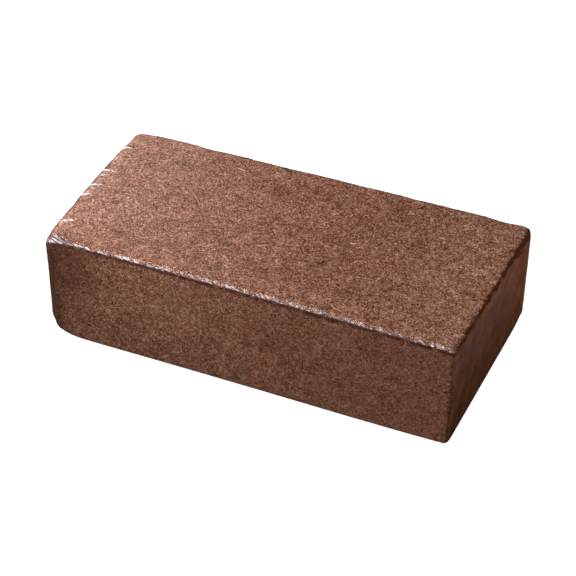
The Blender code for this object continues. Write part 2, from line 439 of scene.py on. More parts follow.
def fine_relief(point):
    """How far the coir's grain stands out of its surface at a point, in metres."""
    grain = noise.noise(point / GRAIN_SCALE)
    lump = noise.noise(point / LUMP_SCALE)
    crack = max(0.0, 1.0 - abs(noise.noise(point / CRACK_SCALE)) / CRACK_WIDTH)
    patch = 0.9 + 0.8 * noise.noise(point / ROUGH_PATCH)
    height = GRAIN_DEPTH * grain * patch + LUMP_DEPTH * lump
    height -= CRACK_DEPTH * crack * max(0.0, grain)
    smooth = 1.0 - (1.0 - SMEARED_ROUGHNESS) * end_share(point)
    return height * smooth * off_the_foot(point)


def crumbled(point):
    """How far small crumbs have broken away at a point along the right end's top edge."""
    lost = max(0.0, 0.05 + noise.noise(point / CRUMBLE_SCALE))
    return -NIBBLED_EDGE * (CRUMBLE_DEPTH * lost * near(to_end_edge(point), CRUMBLE_REACH))


def puckered(place):
    """How far the upright front left corner stands out of the solids' form, below the crumpled film."""
    corner = math.hypot(place.x + END_X, place.y + BACK_Y)
    down = HEIGHT - place.z
    here = near(corner, PUCKER_REACH) * near(down - PUCKER_BELOW, PUCKER_REACH)
    return PUCKER_OUT * here * ramp(down, 0.5 * MM, PUCKER_BELOW)


def coir_point(point, proud=0.0):
    """Where a point of the plain box lies on the coir, the way out there, and its fine relief."""
    place, outward = rounded(point)
    fine = fine_relief(place)
    out = fine + proud + puckered(place) - COIR_INSET
    moved = place + outward * out + coir_hollows(place, outward)
    return drafted(moved + crumbled(place)), outward, fine


def arc(start, middle, end):
    """Places evenly along the parabola through three places."""
    bend = middle * 2 - (start + end) / 2
    shares = [step / ARC_STEPS for step in range(ARC_STEPS + 1)]
    return [start * (1 - s) ** 2 + bend * (2 * s * (1 - s)) + end * s**2 for s in shares]


def facets(along, across):
    """A pattern of irregular facets about 1 across: each one's tone, 0 in the gaps between them."""
    gaps, spots = noise.voronoi(Vector((along, across, 0.0)))
    tone = ramp(noise.noise(spots[0] * 5.3), -0.25, 0.25)
    return tone * ramp(gaps[1] - gaps[0], 0.04, 0.30)


def glint_dots(along, across):
    """Painted glints: small bright dots about 1 apart, half of them left out: 1 in a dot and 0 round
    it.
    """
    gaps, spots = noise.voronoi(Vector((along, across, 3.0)))
    kept = ramp(noise.noise(spots[0] * 7.1), -0.05, 0.05)
    return kept * ramp(-gaps[0], -0.42, -0.18)


def to_front_edge(point):
    """How far a point of the plain box is from the top front edge."""
    return math.hypot(point.y + BACK_Y, HEIGHT - point.z)


def edge_share(point):
    """1 in the wrinkled band along the top front edge, and 0 off it."""
    inwards = point.y + BACK_Y
    down = HEIGHT - point.z
    reach = EDGE_ON_TOP if inwards > down else EDGE_ON_FRONT
    reach = between(reach, ramp(point.x, *BAND_WIDENS))
    reach *= 1.0 + EDGE_RAGGED * noise.noise(Vector((point.x / (1.1 * MM), 0.0, 5.0)))
    return math.exp(-((math.hypot(inwards, down) / reach) ** 4))


def slanted(point):
    """How far a point is along the slanted wrinkles, and how far across the top front edge."""
    across = point.y + BACK_Y - (HEIGHT - point.z)
    return point.x + EDGE_WRINKLE_SLANT * across, across


def edge_wrinkles(point):
    """Short slanted wrinkles along the top front edge: their height, and how white they are, partly the
    folded film's own white and partly painted highlights and glints.
    """
    here = edge_share(point)
    if here < 0.01:
        return 0.0, 0.0
    along, across = slanted(point)
    facet = facets(along / EDGE_WRINKLE_WIDTH, across / EDGE_WRINKLE_ACROSS)
    fine = noise.noise(point / (0.6 * MM))
    to_right = ramp(point.x, *BAND_FILLS)
    fullness = between(EDGE_FULLNESS, to_right)
    fullness += 0.2 * noise.noise(Vector((point.x / (9 * MM), 0.0, 9.0)))
    white = fullness * (0.05 + 1.9 * facet + 0.9 * fine)
    white += between(GLINT_DOTS, to_right) * glint_dots(point.x / GLINT_SPACING, across / GLINT_SPACING)
    white *= ramp(point.x, *BAND_START)
    return EDGE_WRINKLE_DEPTH * here * (facet - 0.5), here * max(0.0, min(1.0, white))


def dull_share(point):
    """How far the film has lost its mirror: round the wrinkled edge, where painted highlights stand in
    for it, and by the right end's top edge.
    """
    front_reach = FRONT_DULL * (1.0 + near(END_X + point.x, CORNER_DULL))
    return max(near(to_front_edge(point), front_reach), near(to_end_edge(point), END_DULL))


def haze_and_sheen_share(point):
    """How hazy the film is, with painted sheen: most high on the right end, and not at all on the top's
    right half.
    """
    down = HEIGHT - point.z
    if down < ON_SIDE:
        return HAZE_AND_SHEEN_ON_TOP * ramp(-point.x, 0.0, 90 * MM)
    if point.x < END_X - ON_SIDE:
        return HAZE_AND_SHEEN_ON_SIDES
    high = ramp(point.z, *HAZE_AND_SHEEN_RISE) * ramp(down, *HAZE_AND_SHEEN_BELOW_EDGE)
    return high * (1.0 - HAZE_AND_SHEEN_LOST * ramp(point.y, *HAZE_AND_SHEEN_TO_BACK))


def crumple(point):
    """The crumpled film at the front left top corner: its height, and how white it is, partly the
    folded film's own white and partly painted highlights.
    """
    here = near(point.x - CRUMPLE_PLACE, CRUMPLE_LENGTH)
    here *= near(to_front_edge(point), CRUMPLE_REACH)
    if here < 0.01:
        return 0.0, 0.0
    along, across = slanted(point)
    here *= ramp(across, *CRUMPLE_FROM)
    ridge = 0.5 - 4.0 * abs(noise.noise(Vector((along / CRUMPLE_WIDTH, across / CRUMPLE_STROKE, 0.0))))
    white = CRUMPLE_WHITE_AND_HIGHLIGHT * max(0.0, min(1.2, 4.0 * ridge))
    return CRUMPLE_DEPTH * here * max(-0.5, ridge), here * white


def crease(place, strength, path):
    """A narrow ridge along a path, tapered at its ends: its height at a place, and how white it is,
    partly the folded film's own white and partly a painted highlight.
    """
    gap, nearest = min(((place - spot).length, step) for step, spot in enumerate(path))
    taper = math.sin(math.pi * (0.1 + 0.8 * (nearest / ARC_STEPS)))
    here = strength * near(gap, CREASE_WIDTH) * taper
    return CREASE_HEIGHT * here, min(1.0, 1.3 * here)


CREASE_PATHS = [
    (strength, arc(*(Vector(spot) * MM for spot in spots))) for strength, *spots in CREASES
]


def film_relief(point):
    """How far the film stands out of its mean surface in metres, and how white its creases are, partly
    with painted highlights.
    """
    parts = [edge_wrinkles(point), crumple(point)]
    in_from_edge = point.x + END_X
    if in_from_edge < 10 * MM and HEIGHT - point.z < 2 * MM:
        place = Vector((in_from_edge - (HEIGHT - point.z), point.y))
        parts.extend(crease(place, strength, path) for strength, path in CREASE_PATHS)
    height = SLACK_DEPTH * noise.noise(point / SLACK_SCALE) + sum(part[0] for part in parts)
    white = max(part[1] for part in parts)
    return height * off_the_foot(point), white


def film_point(point):
    """Where a point of the plain box lies on the film, and how white the film is there, partly with
    painted highlights.
    """
    place, outward = rounded(point)
    height, white = film_relief(point)
    out = height + FILM_OUT * off_the_foot(place) + puckered(place)
    return drafted(place + wave(place, outward) + outward * out), white


# Where each side of the block lies on the square sheet of its map: corner, turned, scale
MAP_SIDE = 255 * MM
MAP_PLACES = {
    (2, 1): ((0.0, 0.0), False, 1.0),
    (1, -1): ((0.0, 99 * MM), False, 1.0),
    (1, 1): ((0.0, 152 * MM), False, 1.0),
    (2, -1): ((0.0, 205 * MM), False, 0.5),
    (0, -1): ((201.5 * MM, 0.0), True, 1.0),
    (0, 1): ((201.5 * MM, 99 * MM), True, 1.0),
}


def lay_out_map(made):
    """Lays the plain box's six sides side by side on the map."""
    layer = made.loops.layers.uv.new("OFBake")
    for face in made.faces:
        axis = max(range(3), key=lambda other: abs(face.normal[other]))
        corner, turned, scale = MAP_PLACES[axis, 1 if face.normal[axis] > 0 else -1]
        for loop in face.loops:
            place = loop.vert.co + Vector((END_X, BACK_Y, 0.0))
            u, v = [place[other] for other in range(3) if other != axis]
            if turned:
                u, v = v, u
            spot = Vector((corner[0] + u * scale, corner[1] + v * scale))
            loop[layer].uv = spot / MAP_SIDE


def plain_box(cells):
    """A plain box of the wrapped block's size, cut into a grid of cells."""
    made = bmesh.new()
    bmesh.ops.create_cube(made, size=1.0)
    size = Vector((LENGTH, TOP_WIDTH, HEIGHT))
    for vertex in made.verts:
        vertex.co = vertex.co * size + Vector((0, 0, HEIGHT / 2))
    for axis, count in enumerate(cells):
        along = [e for e in made.edges if abs(e.verts[0].co[axis] - e.verts[1].co[axis]) > MM / 100]
        bmesh.ops.subdivide_edges(made, edges=along, cuts=count - 1, use_grid_fill=True)
    made.normal_update()
    return made


def clear_foot(made):
    """Makes the flat middle of the underside one face."""
    half = Vector((END_X - FOOT_RIM, BACK_Y - FOOT_RIM, 0))
    foot = []
    for face in made.faces:
        centre = face.calc_center_median()
        if face.normal.z < -0.5 and abs(centre.x) < half.x and abs(centre.y) < half.y:
            foot.append(face)
    bmesh.ops.dissolve_faces(made, faces=foot)


def piece(name, mesh, material, slot, *replaced):
    """Puts a mesh in the scene as a piece of the object."""
    mesh.materials.append(material)
    made = bpy.data.objects.new(name, mesh)
    bpy.context.scene.collection.objects.link(made)
    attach(made, "root")
    if replaced:
        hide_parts(*replaced)
    return made


def add_values(mesh, names, rows):
    """Keeps the numbers of each vertex's row under the names, for the material to read."""
    for name, values in zip(names, zip(*rows)):
        mesh.attributes.new(name, "FLOAT", "POINT").data.foreach_set("value", values)


def gaps_of(point):
    """How far a point of the plain box is from the nearer end, the front, the back and the top."""
    return END_X - abs(point.x), BACK_Y + point.y, BACK_Y - point.y, HEIGHT - point.z


def front_edge_shade(point):
    """Painted shade just under the top front edge, in patches: the shadow of the wrinkled film that
    stands off the coir.
    """
    _, to_front, _, to_top = gaps_of(point)
    patch = 1.15 + 1.5 * noise.noise(point / SHADE_PATCH)
    below = to_top - UNDER_FRONT
    reach = UNDER_FRONT_REACH[0] if below > 0 else UNDER_FRONT_REACH[1]
    return FRONT_SHADE * (near(to_front, EDGE_TURN) * near(below, reach) * patch)


def left_shade(point):
    """How dark painted shade makes the coir at the left: by the end's top edge, under the crumple, and
    on the front.
    """
    if point.x >= 0:
        return 0.0
    to_end, to_front, _, to_top = gaps_of(point)
    rim = LEFT_RIM_SHADE * ((1.0 - ramp(to_end, *LEFT_RIM)) * near(to_top, LEFT_RIM_DOWN))
    if point.y >= 0:
        return rim
    under_crumple = near(point.x - CRUMPLE_PLACE, CRUMPLE_SPREAD * CRUMPLE_LENGTH)
    under_crumple *= near(to_front_edge(point), CRUMPLE_SPREAD * CRUMPLE_REACH)
    turn = 1.0 - ramp(Vector((to_end, to_front)).length, *TURN_REACH)
    wide = (1.0 - ramp(to_end, *WIDE_REACH)) * ramp(point.z, *WIDE_RISE) * near(to_front, WIDE_DEEP)
    on_sides = ramp(to_top, *TURN_DOWN) * max(TURN_SHADE * turn, WIDE_SHADE * wide)
    return max(rim, CRUMPLE_SHADE * under_crumple, on_sides)


def end_edge_shade(point):
    """How dark painted shade makes the coir at the right end's top edge: a ragged line, thicker towards
    the back.
    """
    if point.x < 0:
        return 0.0
    to_end, _, _, to_top = gaps_of(point)
    notch = noise.noise(point / SHADE_PATCH) + 0.7 * noise.noise(point / NOTCH_PATCH)
    if to_top <= to_end:
        return END_SHADE * near(to_end, max(0.3, 0.7 + 2.2 * notch) * MM)
    to_back = ramp(point.y, *END_THICKENS)
    by_corner = ramp(point.y, *END_THICKEST)
    thick = max(0.4, 1.2 + 1.9 * to_back + 2.2 * by_corner + (2.0 + 2.0 * to_back) * notch) * MM
    below = max(1.0 - ramp(to_top, thick, thick + END_FADE), 0.45 * near(to_top, END_SHADE_DOWN))
    return END_SHADE * (below * near(to_end, END_BAND))


def edge_shade(point):
    """How far painted shade darkens the coir at a point near the edges, from 0 to 1."""
    to_end, to_front, to_back, to_top = gaps_of(point)
    upright = Vector((to_end, min(to_front, to_back))).length
    # Painted shade along the back top edge and the upright edges
    outline = max(near(Vector((to_back, to_top)).length, EDGE_TURN), near(upright, UPRIGHT_REACH))
    by_edges = (front_edge_shade(point), left_shade(point), end_edge_shade(point))
    return max(0.0, min(1.0, max(OUTLINE_SHADE * outline, *by_edges)))


def painted_light_and_shade(point):
    """How far painted light raises the coir's tone at a point, or painted shade lowers it: slow changes
    over the top and the front.
    """
    top = RIGHT_LIFT * ramp(point.x, *RIGHT_PART) + LEFT_LIFT * ramp(point.x, *LEFT_PART)
    top += RIM_LIFT * near(point.x - RIM_PLACE, RIM_REACH)
    middle = between(MIDDLE_LIFT, ramp(point.y, *MIDDLE_BACK))
    top += middle * near(point.x - MIDDLE_PLACE, MIDDLE_REACH)
    front = FRONT_LIFT * near(point.x - FRONT_PLACE, FRONT_REACH) * ramp(point.z, *FRONT_RISE)
    front += FRONT_DIM * ramp(point.x, *FRONT_DIM_PART)
    share = on_top(point)
    return share * top + on_front(point) * (1.0 - share) * front


def finished_mesh(made, name):
    """The smooth mesh of a body in the making."""
    mesh = bpy.data.meshes.new(name)
    made.to_mesh(mesh)
    made.free()
    mesh.shade_smooth()
    return mesh


def coir_block(material):
    """The pressed block's own surface."""
    made = plain_box(COIR_CELLS)
    lay_out_map(made)
    clear_foot(made)
    # Each vertex keeps its relief, its smear, the painted shade near the edges, its calm, and the slow
    # painted light and shade
    rows = []
    for vertex in made.verts:
        plain = vertex.co.copy()
        vertex.co, _, fine = coir_point(plain)
        depth = fine / GRAIN_DEPTH
        rows.append((depth, end_share(plain), edge_shade(plain), calm_share(plain), painted_light_and_shade(plain)))
    mesh = finished_mesh(made, "coir")
    add_values(mesh, ("height", "smear", "shade", "calm", "painted_light_and_shade"), rows)
    return piece("coir", mesh, material, "coir", "coir_block")


def random_spot(draw):
    """A point of the plain box, on its top, front, back or an end, by their areas."""
    top, side, end = LENGTH * TOP_WIDTH, LENGTH * HEIGHT, TOP_WIDTH * HEIGHT
    kind = draw.choices(("top", "front", "back", "left", "right"), (top, side, side, end, end))[0]
    x = draw.uniform(-END_X, END_X)
    y = draw.uniform(-BACK_Y, BACK_Y)
    z = draw.uniform(0.0, HEIGHT)
    return {
        "top": Vector((x, y, HEIGHT)),
        "front": Vector((x, -BACK_Y, z)),
        "back": Vector((x, BACK_Y, z)),
        "left": Vector((-END_X, y, z)),
        "right": Vector((END_X, y, z)),
    }[kind]


# Shapes of a loose grain, as corners and the faces between them
OCTAHEDRON = (
    [Vector(p) for p in ((1, 0, 0), (0, 1, 0), (-1, 0, 0), (0, -1, 0), (0, 0, 1), (0, 0, -1))],
    [(0, 1, 4), (1, 2, 4), (2, 3, 4), (3, 0, 4), (1, 0, 5), (2, 1, 5), (3, 2, 5), (0, 3, 5)],
)
TETRAHEDRON = (
    [Vector(p).normalized() for p in ((1, 1, 1), (1, -1, -1), (-1, 1, -1), (-1, -1, 1))],
    [(0, 1, 2), (0, 3, 1), (0, 2, 3), (1, 3, 2)],
)


def frame_on(outward, turn):
    """A matrix whose Z is outward and whose X is turned round it."""
    rotation = outward.to_track_quat("Z", "Y").to_matrix()
    return rotation @ Matrix.Rotation(turn, 3, "Z")


class Bits:
    """Many small closed bodies in one mesh, each with a tone and a square of the map of its own."""

    def __init__(self, count):
        self.across = math.ceil(math.sqrt(count))
        self.made = 0
        self.places, self.faces, self.tones, self.spots = [], [], [], []

    def add(self, places, faces, spots, tone):
        """Adds a body, with its corners' spots on its own square of the map."""
        first = len(self.places)
        cell = Vector((self.made % self.across, self.made // self.across))
        self.places.extend(places)
        self.faces.extend(tuple(first + n for n in face) for face in faces)
        self.tones.extend([tone] * len(places))
        self.spots.extend((cell + Vector(spot)) / self.across for spot in spots)
        self.made += 1

    def mesh(self, name):
        """All the bodies as a mesh."""
        made = bpy.data.meshes.new(name)
        made.from_pydata(self.places, [], self.faces)
        add_values(made, ("tone",), [(tone,) for tone in self.tones])
        layer = made.uv_layers.new(name="OFBake")
        layer.data.foreach_set("uv", [u for face in self.faces for n in face for u in self.spots[n]])
        return made


def bit_tone(draw, middle, spread):
    """A tone from 0, dark, to 1, pale: mostly close to the middle, and now and then at either end."""
    if draw.random() < ODD_TONES:
        return draw.choice((0.0, 0.0, 1.0))
    return max(0.0, min(1.0, draw.gauss(middle, spread)))


def settled(tone, spot):
    """A bit's tone, calmed as the coir is where it lies, raised by its painted light and darkened by
    its painted shade.
    """
    calmed = 0.5 + (tone - 0.5) * (1.0 - calm_share(spot)) + painted_light_and_shade(spot)
    return calmed * (1.0 - BIT_SHADE * edge_shade(spot))


def loose_grains(name, material, count, shape, sizes, seed):
    """Grains of pith pressed into the surface."""
    draw = random.Random(seed)
    corners, faces = shape
    bits = Bits(count)
    while bits.made < count:
        spot = random_spot(draw)
        # Fewer grains where the coir is smeared, and where painted shade darkens it
        if draw.random() < max(end_share(spot), edge_shade(spot)):
            continue
        size = draw.uniform(*sizes) * (LARGER_BY if draw.random() < LARGE_SHARE else 1.0)
        proud = min(draw.uniform(-0.35, 0.1) * size, GRAIN_PROUD - 0.75 * size)
        place, outward, _ = coir_point(spot, proud)
        turned = frame_on(outward, draw.uniform(0, math.tau))
        stretch = Vector((draw.uniform(0.9, 1.9), 1.0, 0.75)) * size
        places, spots = [], []
        for corner in corners:
            jolt = Vector([draw.uniform(-GRAIN_JOLT, GRAIN_JOLT) for _ in range(3)])
            places.append(place + turned @ ((corner + jolt) * stretch))
            spots.append((0.5 + 0.35 * corner.x, 0.5 + 0.35 * corner.y))
        bits.add(places, faces, spots, settled(bit_tone(draw, 0.5, 0.15), spot))
    return piece(name, bits.mesh(name), material, "coir")


def clamp_to_side(point, axis):
    """Keeps a fibre's point on the side that it started on."""
    limits = ((-END_X, END_X), (-BACK_Y, BACK_Y), (0.0, HEIGHT))
    for other in range(3):
        if other != axis:
            low, high = limits[other]
            point[other] = max(low + MM / 2, min(high - MM / 2, point[other]))
    return point


def fibre_path(draw, spot, length, steps, bend):
    """Points of the plain box along a fibre that lies in one side, curving evenly."""
    axis = side_of(spot)
    first, second = [other for other in range(3) if other != axis]
    way = draw.uniform(0, math.tau)
    curve = draw.gauss(0, bend) / steps
    points = [spot.copy()]
    for _ in range(steps):
        step = Vector((0, 0, 0))
        step[first] = math.cos(way) * length / steps
        step[second] = math.sin(way) * length / steps
        way += curve
        points.append(clamp_to_side(points[-1] + step, axis))
    return points


def tube(path, proud, radius, sides):
    """A closed tube on the coir, tapered at both ends: its corners, faces and places on the map."""
    verts, faces, spots = [], [], []
    found = [coir_point(point, proud) for point in path]
    last = len(found) - 1
    for n, (place, outward, _) in enumerate(found):
        way = (found[min(n + 1, last)][0] - found[max(n - 1, 0)][0]).normalized()
        across = way.cross(outward).normalized()
        up = across.cross(way)
        thick = radius * (0.45 if n in (0, last) else 1.0)
        for side in range(sides):
            angle = math.tau * (side + 0.5) / sides
            verts.append(place + across * (math.cos(angle) * thick) + up * (math.sin(angle) * thick))
            spots.append((0.15 + 0.7 * n / last, 0.15 + 0.7 * side / sides))
    for n in range(last):
        for side in range(sides):
            a = n * sides + side
            b = n * sides + (side + 1) % sides
            faces.append((a, b, b + sides, a + sides))
    faces.append(tuple(reversed(range(sides))))
    faces.append(tuple(last * sides + side for side in range(sides)))
    return verts, faces, spots


def laid_fibres():
    """The fibres and flecks of the photo, and its cracks as dark marks of painted shade: the tone,
    thickness and places of each.
    """
    sides = (
        (LAID_ON_TOP, lambda x, y: Vector((x, y, HEIGHT))),
        (LAID_ON_FRONT, lambda x, z: Vector((x, -BACK_Y, z))),
        (LAID_ON_END, lambda y, z: Vector((END_X, y, z))),
    )
    for laid, placed in sides:
        for tone, thickness, *spots in laid:
            yield tone, thickness * MM, [placed(a * MM, b * MM) for a, b in spots]


def fibres(material):
    """Short fibres all over the surface, a few long ones, and those that the photo shows."""
    draw = random.Random(SEED + 1)
    laid = list(laid_fibres())
    bits = Bits(FIBRES + LONG_FIBRES + len(laid))
    while bits.made < FIBRES + LONG_FIBRES:
        long = bits.made >= FIBRES
        spot = random_spot(draw)
        # Fewer fibres where the coir is smeared, and where painted shade darkens it
        if draw.random() < max(end_share(spot), edge_shade(spot)):
            continue
        length = (draw.uniform(*LONG_LENGTH_MM) if long else 0.7 + draw.expovariate(1 / 0.8)) * MM
        steps = 8 if long else 2
        radius = draw.uniform(*FIBRE_RADII)
        path = fibre_path(draw, spot, length, steps, 1.2 if long else 0.6)
        proud = draw.uniform(-FIBRE_PROUD, FIBRE_PROUD)
        bits.add(*tube(path, proud, radius, 3), settled(bit_tone(draw, 0.58, 0.17), spot))
    for tone, thickness, path in laid:
        bits.add(*tube(path, LAID_PROUD, thickness * 0.6, 5), tone)
    return piece("coir_fibres", bits.mesh("coir_fibres"), material, "coir")


def refine(made, wanted):
    """Halves the cells whose centre is wanted."""
    edges = {edge for face in made.faces if wanted(face.calc_center_median()) for edge in face.edges}
    bmesh.ops.subdivide_edges(made, edges=list(edges), cuts=1, use_grid_fill=True)


def near_an_edge(point):
    """Whether a point of the plain box is close to an edge that isn't at the foot."""
    return sorted(gaps_of(point))[1] < EDGE_MARGIN


def near_the_wrinkles(point):
    """Whether a point of the plain box is by the top front edge or the left end's top edge."""
    left_edge = math.hypot(point.x + END_X, HEIGHT - point.z)
    return to_front_edge(point) < WRINKLE_MARGINS[0] or left_edge < CREASE_MARGINS[0]


def on_the_wrinkles(point):
    """Whether it is closer still to the front one, or where the creases turn over the other."""
    by_left_edge = point.x + END_X < CREASE_MARGINS[1] and HEIGHT - point.z < 2 * MM
    return to_front_edge(point) < WRINKLE_MARGINS[1] or by_left_edge


def on_the_creases(point):
    """Whether a point of the plain box is on the top, where the left end's creases run out."""
    in_from_end = point.x + END_X
    return CREASE_ENDS_FROM < in_from_end < CREASE_MARGINS[1] and HEIGHT - point.z < ON_SIDE


def near_the_corner(point):
    """Whether a point of the plain box is in the crumpled corner."""
    return on_the_wrinkles(point) and point.x < CORNER_TO_X and point.y < CORNER_TO_Y


def cut_vent(made):
    """Leaves out the film inside the round vent in the back."""
    middle = Vector((VENT_X, BACK_Y, VENT_Z))
    radius = VENT_DIAMETER / 2
    for _ in range(3):
        refine(made, lambda point: (point - middle).length < radius + 0.8 * MM)
    inside = [face for face in made.faces if (face.calc_center_median() - middle).length < radius]
    bmesh.ops.delete(made, geom=inside, context="FACES")
    rim = [v for v in made.verts if v.is_boundary]
    for vertex in rim:
        vertex.co = middle + (vertex.co - middle).normalized() * radius


def film_wrap(material):
    """The shrink film: one sheet, cut finer where it is wrinkled."""
    made = plain_box(FILM_CELLS)
    lay_out_map(made)
    clear_foot(made)
    for wanted in (near_an_edge, near_the_wrinkles, on_the_wrinkles, on_the_creases, near_the_corner):
        refine(made, wanted)
    cut_vent(made)
    # Each vertex keeps how white the film is, with painted highlights, how far it has lost its mirror,
    # and its haze with painted sheen
    rows = []
    for vertex in made.verts:
        plain = vertex.co.copy()
        vertex.co, white = film_point(plain)
        rows.append((white, dull_share(plain), haze_and_sheen_share(plain)))
    mesh = finished_mesh(made, "film")
    add_values(mesh, ("white", "dull", "haze_and_sheen"), rows)
    return piece("film", mesh, material, "film", "film_wrap")


def node(tree, kind, inputs=None, **settings):
    """Adds a node. inputs maps a socket's name or number to a value or to the socket that feeds it."""
    made = tree.nodes.new(kind)
    for name, value in settings.items():
        setattr(made, name, value)
    for name, value in (inputs or {}).items():
        if isinstance(value, bpy.types.NodeSocket):
            tree.links.new(value, made.inputs[name])
        else:
            made.inputs[name].default_value = value
    return made


def maths(tree, operation, first, second=0.0, clamped=False):
    """Two numbers joined by an operation."""
    inputs = {0: first, 1: second}
    return node(tree, "ShaderNodeMath", inputs, operation=operation, use_clamp=clamped).outputs[0]


def mixed(tree, share, first, second, way="MIX"):
    """Two colours mixed by share."""
    inputs = {0: share, 6: first, 7: second}
    return node(tree, "ShaderNodeMix", inputs, data_type="RGBA", blend_type=way).outputs[2]


def mapped(tree, value, low, high, to_low=0.0, to_high=1.0):
    """value moved from the range low to high to another, and kept in it."""
    made = node(tree, "ShaderNodeMapRange", {0: value, 1: low, 2: high, 3: to_low, 4: to_high})
    return made.outputs[0]


def noise_at(tree, place, size_mm, rough=0.5):
    """Soft noise whose lumps are about size_mm across, from 0 to 1."""
    inputs = {"Vector": place, "Scale": 1.0 / (size_mm * MM), "Roughness": rough}
    return node(tree, "ShaderNodeTexNoise", inputs).outputs["Fac"]


def kept_value(tree, name):
    """A number kept with each vertex."""
    return node(tree, "ShaderNodeAttribute", attribute_name=name).outputs["Fac"]


def new_material(name):
    """A new material and its empty tree."""
    made = bpy.data.materials.new(name)
    made.use_nodes = True
    made.node_tree.nodes.clear()
    return made, made.node_tree


def principled(tree, colour, roughness, others=None):
    """The common shader, with its other sockets' values in others."""
    inputs = {"Base Color": colour, "Roughness": roughness, **(others or {})}
    return node(tree, "ShaderNodeBsdfPrincipled", inputs).outputs[0]


# The coir's colours, from its darkest, which the painted shade also uses, to its pale flecks, and where
# it is smeared
DARKEST_COIR = (0.040, 0.011, 0.004, 1.0)
COIR_TONES = (
    (0.0, DARKEST_COIR),
    (0.25, (0.088, 0.030, 0.013, 1.0)),
    (0.5, (0.168, 0.074, 0.043, 1.0)),
    (0.75, (0.275, 0.143, 0.095, 1.0)),
    (1.0, (0.460, 0.290, 0.205, 1.0)),
)
REDDER = (1.06, 0.98, 0.98, 1.0)
SMEAR_DARK = (0.112, 0.033, 0.014, 1.0)
SMEAR_PALE = (0.345, 0.118, 0.040, 1.0)
# Where painted light brightens the smeared right end most
PAINTED_LIGHT_PLACE = Vector((END_X, 40 * MM, 26 * MM))


def toned(tree, tone, tones):
    """The colour for a tone from 0 to 1."""
    made = node(tree, "ShaderNodeValToRGB", {0: tone})
    stops = made.color_ramp.elements
    while len(stops) < len(tones):
        stops.new(0.5)
    for stop, (place, colour) in zip(stops, tones):
        stop.position = place
        stop.color = colour
    return made.outputs[0]


def around_nought(tree, value, gain):
    """A value whose middle is 0.5, moved to lie round 0, times gain."""
    return maths(tree, "MULTIPLY", maths(tree, "SUBTRACT", value, 0.5), gain)


def total(tree, *values):
    """The values added up."""
    result = values[0]
    for value in values[1:]:
        result = maths(tree, "ADD", result, value)
    return result


def granules(tree, place, size_mm):
    """Rounded granules about size_mm across: how far from each one's middle, and each one's tone."""
    cells = node(tree, "ShaderNodeTexVoronoi", {"Vector": place, "Scale": 1.0 / (size_mm * MM)})
    channels = node(tree, "ShaderNodeSeparateColor", {0: cells.outputs["Color"]})
    return cells.outputs["Distance"], channels.outputs[0], channels.outputs[1]


def coir_material():
    """Pressed granules with pale flecks, painted shade in their hollows, gaps and pits and near the
    edges, painted light in slow patches, and smeared smooth at the ends.
    """
    made, tree = new_material("coir")
    place = node(tree, "ShaderNodeTexCoord").outputs["Object"]
    smear = kept_value(tree, "smear")
    far, big_tone, _ = granules(tree, place, 1.0)
    near_far, small_tone, rare = granules(tree, place, 0.56)
    # Random granule tones and noise, with painted shade: darker where the fine relief is low, towards
    # each granule's edge, and in sparse dark spots for pits
    tone = total(
        tree,
        0.53,
        around_nought(tree, big_tone, 0.34),
        around_nought(tree, small_tone, 0.50),
        around_nought(tree, noise_at(tree, place, 4.0), 0.32),
        around_nought(tree, noise_at(tree, place, 14.0), 0.20),
        mapped(tree, kept_value(tree, "height"), -1.5, 1.5, -0.15, 0.15),
        mapped(tree, near_far, 0.35, 0.75, 0.05, -0.25),
        mapped(tree, noise_at(tree, place, 1.1), 0.61, 0.71, 0.0, -0.60),
        mapped(tree, rare, 0.970, 0.980, 0.0, 0.25),
    )
    # Contrast lowered on the front, then the slow painted light and shade kept with the vertices added
    contrast = maths(tree, "SUBTRACT", 1.0, kept_value(tree, "calm"))
    tone = total(tree, around_nought(tree, tone, contrast), 0.5, kept_value(tree, "painted_light_and_shade"))
    rough = toned(tree, tone, COIR_TONES)
    reddened = mixed(tree, 1.0, rough, REDDER, "MULTIPLY")
    rough = mixed(tree, mapped(tree, noise_at(tree, place, 9.0), 0.40, 0.65), rough, reddened)
    up = node(tree, "ShaderNodeSeparateXYZ", {0: place}).outputs[2]
    to_painted_light = node(tree, "ShaderNodeVectorMath", {0: place, 1: PAINTED_LIGHT_PLACE}, operation="DISTANCE")
    # The smeared end's tone: random patches, with painted light that brightens it towards the top and
    # towards a place near its back top
    smooth_tone = total(
        tree,
        around_nought(tree, noise_at(tree, place, 11.0), 1.2),
        around_nought(tree, noise_at(tree, place, 2.4, 0.6), 0.8),
        around_nought(tree, noise_at(tree, place, 0.9), 0.5),
        mapped(tree, up, 6 * MM, 40 * MM, 0.26, 0.50),
        mapped(tree, to_painted_light.outputs["Value"], 4 * MM, 30 * MM, 0.22, 0.0),
    )
    smooth = mixed(tree, smooth_tone, SMEAR_DARK, SMEAR_PALE)
    colour = mixed(tree, smear, rough, smooth)
    # Painted shade near the edges, mixed towards the darkest coir
    colour = mixed(tree, kept_value(tree, "shade"), colour, DARKEST_COIR)
    relief = total(tree, maths(tree, "MULTIPLY", far, -0.7), maths(tree, "MULTIPLY", near_far, -0.5))
    relief = maths(tree, "MULTIPLY", relief, maths(tree, "SUBTRACT", 1.0, smear))
    bump = node(tree, "ShaderNodeBump", {"Strength": 1.0, "Distance": 0.25 * MM, "Height": relief})
    others = {"Specular IOR Level": 0.05, "Normal": bump.outputs[0]}
    node(tree, "ShaderNodeOutputMaterial", {"Surface": principled(tree, colour, 0.9, others)})
    return made


FIBRE_TONES = (
    (0.0, (0.020, 0.006, 0.003, 1.0)),
    (0.2, (0.090, 0.034, 0.018, 1.0)),
    (0.5, (0.190, 0.088, 0.052, 1.0)),
    (0.8, (0.360, 0.200, 0.125, 1.0)),
    (1.0, (0.620, 0.420, 0.280, 1.0)),
)


